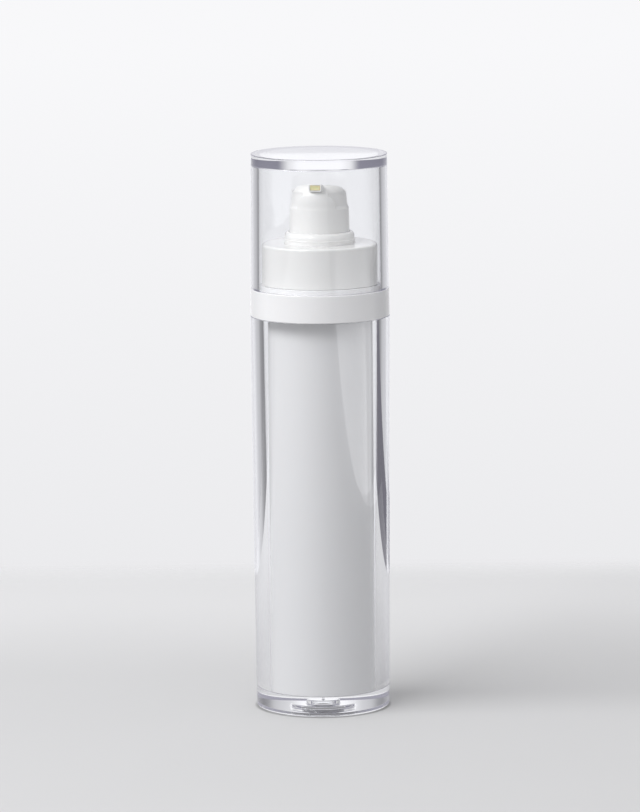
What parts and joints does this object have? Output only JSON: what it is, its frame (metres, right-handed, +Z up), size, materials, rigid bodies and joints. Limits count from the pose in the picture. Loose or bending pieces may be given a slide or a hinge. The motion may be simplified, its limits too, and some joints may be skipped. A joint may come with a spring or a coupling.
{
  "type": "airless pump bottle",
  "caption": "Slim double-wall airless dispenser bottle with a clear outer wall, white inner bottle, press-down lotion pump and clear lift-off overcap.",
  "frame": {"origin": "middle of the foot, on the plane that the bottle stands on", "axes": "+Z up along the bottle's axis, nozzle pointing along -Y, +X to the right as seen from the nozzle side"},
  "size_m": [0.037, 0.037, 0.1484],
  "materials": {
    "clear_acrylic": "clear gloss",
    "white_pp": "semi gloss",
    "natural_pp": "natural translucent",
    "white_pe": "soft satin",
    "foam_gasket": "matte",
    "yellow_elastomer": "satin",
    "steel_wire": "drawn",
    "steel_ball": "polished"
  },
  "bodies": {
    "bottle": {"outer_bottle": "clear_acrylic", "inner_bottle": "white_pp", "inner_end_plate": "white_pp", "shoulder_ring": "white_pp", "neck_gasket": "foam_gasket", "closure": "white_pp", "guide_collar": "white_pp", "pump_housing": "natural_pp", "stem_guide": "natural_pp", "ball_cage": "natural_pp"},
    "cap": {"overcap": "clear_acrylic"},
    "plunger": {"stem": "white_pp", "valve_rod": "white_pp", "pump_spring": "steel_wire"},
    "head": {"actuator": "white_pp", "nozzle_insert": "yellow_elastomer"},
    "seal": {"piston_seal": "white_pe"},
    "ball": {"inlet_ball": "steel_ball"},
    "follower": {"follower_piston": "white_pe"}
  },
  "joints": [
    {"name": "overcap_lift", "type": "slide", "parent": "bottle", "child": "cap", "axis": [0, 0, 1], "range_m": [0, 0.04]},
    {"name": "actuator_press", "type": "slide", "parent": "bottle", "child": "plunger", "axis": [0, 0, -1], "range_m": [0, 0.005], "stiffness_N_per_m": 1800, "springref_m": -0.0004, "deforming": ["pump_spring"]},
    {"name": "actuator_turn", "type": "hinge", "parent": "plunger", "child": "head", "pos_m": [0, 0, 0.13], "axis": [0, 0, 1], "continuous": true},
    {"name": "seal_slip", "type": "slide", "parent": "plunger", "child": "seal", "axis": [0, 0, 1], "range_m": [0, 0.0008]},
    {"name": "ball_lift", "type": "slide", "parent": "bottle", "child": "ball", "axis": [0, 0, 1], "range_m": [0, 0.001]},
    {"name": "follower_rise", "type": "slide", "parent": "bottle", "child": "follower", "axis": [0, 0, 1], "range_m": [0, 0.0914]}
  ]
}
